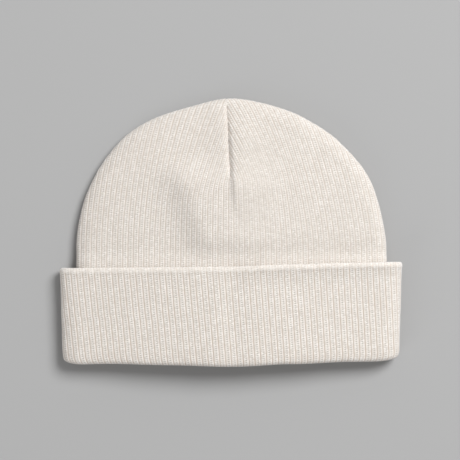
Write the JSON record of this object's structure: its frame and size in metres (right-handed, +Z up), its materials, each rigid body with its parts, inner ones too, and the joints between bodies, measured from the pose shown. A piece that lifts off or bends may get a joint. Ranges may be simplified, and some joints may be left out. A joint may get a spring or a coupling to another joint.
{
  "type": "cuffed beanie",
  "caption": "Rib-knit beanie lying flat on its back, with a deep turned-up cuff and a rounded crown shaped by a dart.",
  "frame": {"origin": "on the floor, under the middle of the bounding box of the cap as it lies on its back", "axes": "+X across the cap to the wearer's left, +Y from the mouth to the crown, +Z up out of the cap's front"},
  "size_m": [0.224, 0.175, 0.0248],
  "materials": {
    "rib_knit": "matte"
  },
  "bodies": {
    "root": {"crown": "rib_knit", "cuff": "rib_knit"}
  },
  "joints": []
}
